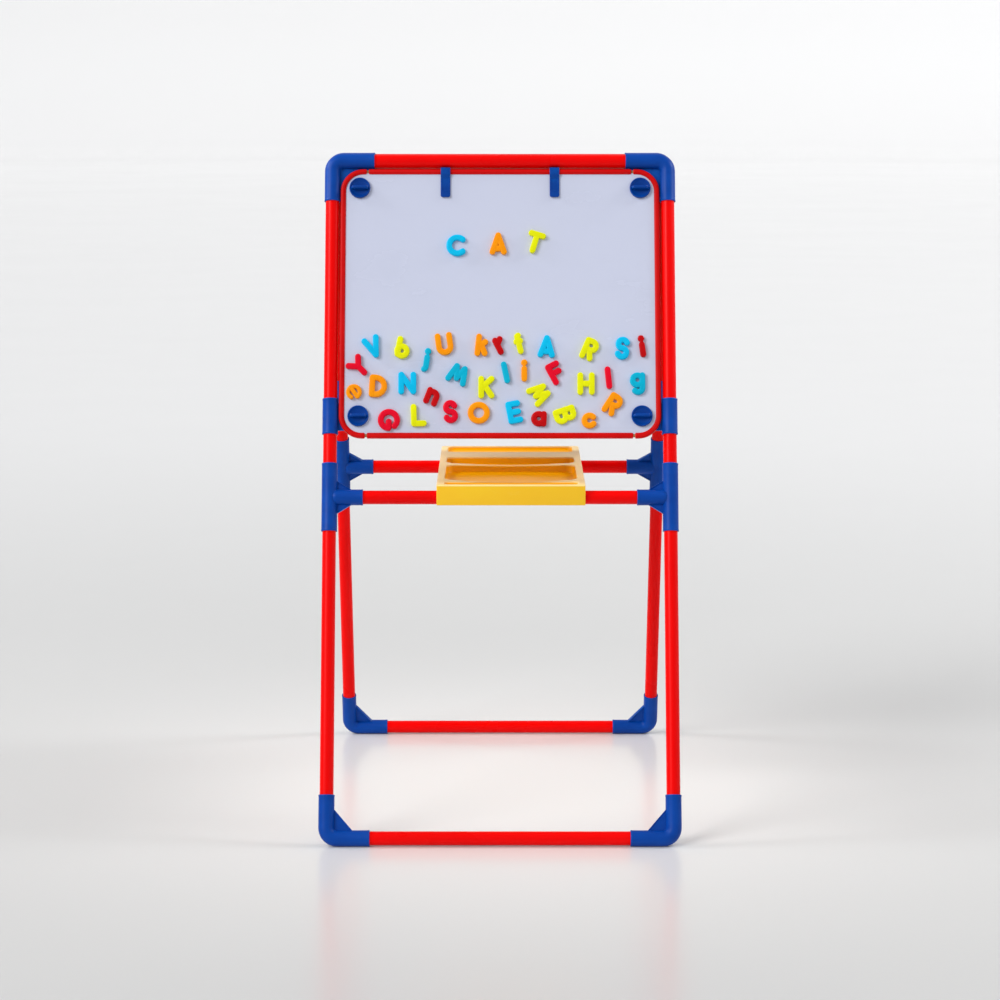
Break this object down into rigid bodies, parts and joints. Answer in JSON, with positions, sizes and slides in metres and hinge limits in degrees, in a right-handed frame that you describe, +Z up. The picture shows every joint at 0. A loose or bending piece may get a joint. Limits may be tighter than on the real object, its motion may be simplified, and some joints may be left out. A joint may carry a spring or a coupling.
{
  "type": "kids easel",
  "caption": "Folding double-sided kids' easel: red tube A-frame, blue connectors, magnetic whiteboard with letters, chalkboard behind and an orange tray across the crossbars.",
  "frame": {"origin": "on the floor, at the middle of the easel's footprint", "axes": "+Z up, -Y towards the child at the whiteboard, +X to that child's right"},
  "size_m": [0.5866, 0.7834, 1.0931],
  "materials": {
    "red_tube": "gloss",
    "blue_connector": "satin",
    "blue_knob": "satin",
    "blue_clip": "satin",
    "red_trim": "satin",
    "white_board": "gloss",
    "chalk_board": "matte",
    "orange_tray": "satin",
    "steel_pin": "satin",
    "letters_cyan": "satin",
    "letters_teal": "satin",
    "letters_orange": "satin",
    "letters_yellow": "satin",
    "letters_crimson": "satin",
    "letters_dark_red": "satin"
  },
  "bodies": {
    "front_frame": {"front_bottom_tube": "red_tube", "front_crossbar": "red_tube", "front_left_board_bracket": "blue_connector", "front_left_lower_elbow": "blue_connector", "front_left_lower_tube": "red_tube", "front_left_tee": "blue_connector", "front_left_upper_elbow": "blue_connector", "front_left_upper_tube": "red_tube", "front_right_board_bracket": "blue_connector", "front_right_lower_elbow": "blue_connector", "front_right_lower_tube": "red_tube", "front_right_tee": "blue_connector", "front_right_upper_elbow": "blue_connector", "front_right_upper_tube": "red_tube", "front_top_tube": "red_tube", "hinge_pin_left": "steel_pin", "hinge_pin_right": "steel_pin", "whiteboard_panel": "white_board", "whiteboard_trim_bottom": "red_trim", "whiteboard_trim_left": "red_trim", "whiteboard_trim_right": "red_trim", "whiteboard_trim_top": "red_trim"},
    "rear_frame": {"chalkboard_panel": "chalk_board", "chalkboard_trim_bottom": "red_trim", "chalkboard_trim_left": "red_trim", "chalkboard_trim_right": "red_trim", "chalkboard_trim_top": "red_trim", "rear_bottom_tube": "red_tube", "rear_crossbar": "red_tube", "rear_left_board_bracket": "blue_connector", "rear_left_lower_elbow": "blue_connector", "rear_left_lower_tube": "red_tube", "rear_left_tee": "blue_connector", "rear_left_upper_elbow": "blue_connector", "rear_left_upper_tube": "red_tube", "rear_right_board_bracket": "blue_connector", "rear_right_lower_elbow": "blue_connector", "rear_right_lower_tube": "red_tube", "rear_right_tee": "blue_connector", "rear_right_upper_elbow": "blue_connector", "rear_right_upper_tube": "red_tube", "rear_top_tube": "red_tube"},
    "chalkboard_knob_lower_left": {"chalkboard_knob_lower_left": "blue_knob"},
    "chalkboard_knob_lower_right": {"chalkboard_knob_lower_right": "blue_knob"},
    "chalkboard_knob_upper_left": {"chalkboard_knob_upper_left": "blue_knob"},
    "chalkboard_knob_upper_right": {"chalkboard_knob_upper_right": "blue_knob"},
    "letters_crimson": {"letters_crimson": "letters_crimson"},
    "letters_cyan": {"letters_cyan": "letters_cyan"},
    "letters_dark_red": {"letters_dark_red": "letters_dark_red"},
    "letters_orange": {"letters_orange": "letters_orange"},
    "letters_teal": {"letters_teal": "letters_teal"},
    "letters_yellow": {"letters_yellow": "letters_yellow"},
    "paper_clip_left": {"paper_clip_left": "blue_clip"},
    "paper_clip_right": {"paper_clip_right": "blue_clip"},
    "tray": {"tray": "orange_tray"},
    "whiteboard_knob_lower_left": {"whiteboard_knob_lower_left": "blue_knob"},
    "whiteboard_knob_lower_right": {"whiteboard_knob_lower_right": "blue_knob"},
    "whiteboard_knob_upper_left": {"whiteboard_knob_upper_left": "blue_knob"},
    "whiteboard_knob_upper_right": {"whiteboard_knob_upper_right": "blue_knob"}
  },
  "joints": [
    {"name": "frame_fold", "type": "hinge", "parent": "front_frame", "child": "rear_frame", "pos_m": [0, 0, 1.05478], "axis": [-1, 0, 0], "range_deg": [0, 37.7]},
    {"name": "tray_lift", "type": "slide", "parent": "front_frame", "child": "tray", "axis": [0, 0, 1], "range_m": [0, 0.028]},
    {"name": "clip_left_slide", "type": "slide", "parent": "front_frame", "child": "paper_clip_left", "axis": [1, 0, 0], "range_m": [-0.06, 0.06]},
    {"name": "clip_right_slide", "type": "slide", "parent": "front_frame", "child": "paper_clip_right", "axis": [1, 0, 0], "range_m": [-0.06, 0.06]},
    {"name": "whiteboard_knob_lower_left_turn", "type": "hinge", "parent": "front_frame", "child": "whiteboard_knob_lower_left", "pos_m": [-0.234, -0.15982, 0.66899], "axis": [0, -0.9463, 0.3234], "range_deg": [0, 90]},
    {"name": "whiteboard_knob_lower_right_turn", "type": "hinge", "parent": "front_frame", "child": "whiteboard_knob_lower_right", "pos_m": [0.234, -0.15982, 0.66899], "axis": [0, -0.9463, 0.3234], "range_deg": [0, 90]},
    {"name": "whiteboard_knob_upper_left_turn", "type": "hinge", "parent": "front_frame", "child": "whiteboard_knob_upper_left", "pos_m": [-0.234, -0.03433, 1.03613], "axis": [0, -0.9463, 0.3234], "range_deg": [0, 90]},
    {"name": "whiteboard_knob_upper_right_turn", "type": "hinge", "parent": "front_frame", "child": "whiteboard_knob_upper_right", "pos_m": [0.234, -0.03433, 1.03613], "axis": [0, -0.9463, 0.3234], "range_deg": [0, 90]},
    {"name": "chalkboard_knob_lower_left_turn", "type": "hinge", "parent": "rear_frame", "child": "chalkboard_knob_lower_left", "pos_m": [-0.234, 0.15982, 0.66899], "axis": [0, 0.9463, 0.3234], "range_deg": [0, 90]},
    {"name": "chalkboard_knob_lower_right_turn", "type": "hinge", "parent": "rear_frame", "child": "chalkboard_knob_lower_right", "pos_m": [0.234, 0.15982, 0.66899], "axis": [0, 0.9463, 0.3234], "range_deg": [0, 90]},
    {"name": "chalkboard_knob_upper_left_turn", "type": "hinge", "parent": "rear_frame", "child": "chalkboard_knob_upper_left", "pos_m": [-0.234, 0.03433, 1.03613], "axis": [0, 0.9463, 0.3234], "range_deg": [0, 90]},
    {"name": "chalkboard_knob_upper_right_turn", "type": "hinge", "parent": "rear_frame", "child": "chalkboard_knob_upper_right", "pos_m": [0.234, 0.03433, 1.03613], "axis": [0, 0.9463, 0.3234], "range_deg": [0, 90]},
    {"name": "letters_cyan_lift_off", "type": "slide", "parent": "front_frame", "child": "letters_cyan", "axis": [0, -0.9463, 0.3234], "range_m": [0, 0.03]},
    {"name": "letters_teal_lift_off", "type": "slide", "parent": "front_frame", "child": "letters_teal", "axis": [0, -0.9463, 0.3234], "range_m": [0, 0.03]},
    {"name": "letters_orange_lift_off", "type": "slide", "parent": "front_frame", "child": "letters_orange", "axis": [0, -0.9463, 0.3234], "range_m": [0, 0.03]},
    {"name": "letters_yellow_lift_off", "type": "slide", "parent": "front_frame", "child": "letters_yellow", "axis": [0, -0.9463, 0.3234], "range_m": [0, 0.03]},
    {"name": "letters_crimson_lift_off", "type": "slide", "parent": "front_frame", "child": "letters_crimson", "axis": [0, -0.9463, 0.3234], "range_m": [0, 0.03]},
    {"name": "letters_dark_red_lift_off", "type": "slide", "parent": "front_frame", "child": "letters_dark_red", "axis": [0, -0.9463, 0.3234], "range_m": [0, 0.03]}
  ]
}
